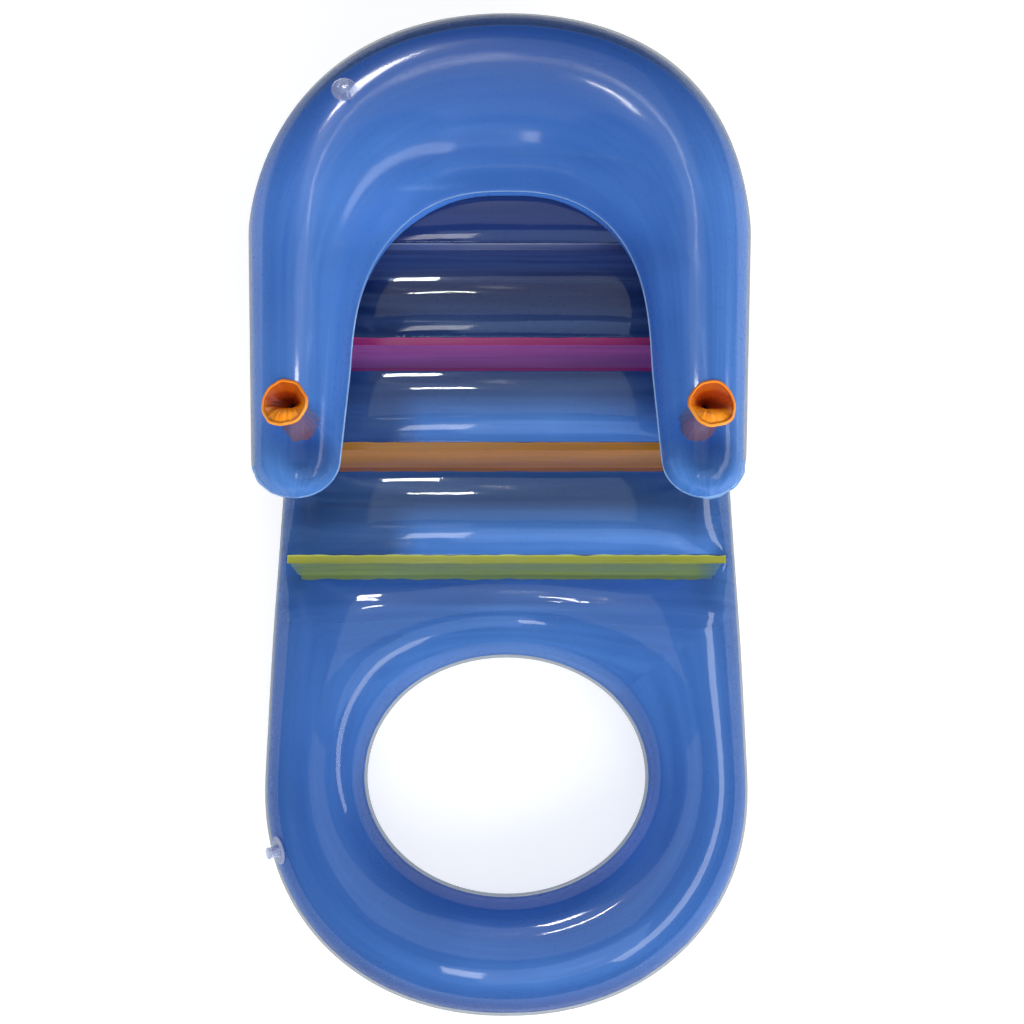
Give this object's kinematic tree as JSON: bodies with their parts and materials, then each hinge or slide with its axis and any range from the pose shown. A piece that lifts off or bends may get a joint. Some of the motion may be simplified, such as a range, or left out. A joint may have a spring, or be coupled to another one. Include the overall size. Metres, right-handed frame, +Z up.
{
  "type": "inflatable pool lounger",
  "caption": "Inflatable pool lounger: a tufted air mattress with an oval foot opening and a U-shaped backrest with armrests and drink pockets.",
  "frame": {"origin": "on the floor, under the middle of the plan's bounding box", "axes": "+X to the right as seen from the feet, +Y from the feet to the head, +Z up"},
  "size_m": [0.807, 1.5451, 0.366],
  "materials": {
    "blue_film": "clear glossy vinyl film",
    "yellow_film": "glossy vinyl film",
    "amber_film": "glossy vinyl film",
    "magenta_film": "glossy vinyl film",
    "beam_blue_film": "glossy vinyl film",
    "orange_film": "satin vinyl film",
    "clear_vinyl": "clear moulded vinyl"
  },
  "bodies": {
    "lounger": {"body_top_sheet": "blue_film", "body_bottom_sheet": "blue_film", "backrest_top_sheet": "blue_film", "backrest_bottom_sheet": "blue_film", "beam_yellow": "yellow_film", "beam_orange": "amber_film", "beam_magenta": "magenta_film", "beam_blue": "beam_blue_film", "beam_head": "beam_blue_film", "pocket_sleeve_left": "orange_film", "pocket_floor_left": "orange_film", "pocket_sleeve_right": "orange_film", "pocket_floor_right": "orange_film", "body_valve_base": "clear_vinyl", "body_valve_tether": "clear_vinyl", "backrest_valve_base": "clear_vinyl", "backrest_valve_tether": "clear_vinyl"},
    "body_stopper": {"body_valve_stopper": "clear_vinyl"},
    "body_flap": {"body_valve_flap": "clear_vinyl"},
    "backrest_stopper": {"backrest_valve_stopper": "clear_vinyl"},
    "backrest_flap": {"backrest_valve_flap": "clear_vinyl"}
  },
  "joints": [
    {"name": "body_stopper_pull", "type": "slide", "parent": "lounger", "child": "body_stopper", "axis": [-0.8004, -0.2804, 0.5299], "range_m": [0, 0.014], "deforming": ["body_valve_tether"]},
    {"name": "body_flap_swing", "type": "hinge", "parent": "lounger", "child": "body_flap", "pos_m": [-0.31598, -0.54841, 0.09448], "axis": [-0.3306, 0.9438, 0], "range_deg": [0, 60], "stiffness_Nm_per_rad": 0.0001},
    {"name": "backrest_stopper_pull", "type": "slide", "parent": "lounger", "child": "backrest_stopper", "axis": [0.0504, -0.111, 0.9925], "range_m": [0, 0.014], "deforming": ["backrest_valve_tether"]},
    {"name": "backrest_flap_swing", "type": "hinge", "parent": "lounger", "child": "backrest_flap", "pos_m": [-0.24438, 0.58396, 0.34274], "axis": [0.9104, 0.4136, 0], "range_deg": [0, 60], "stiffness_Nm_per_rad": 0.0001}
  ]
}
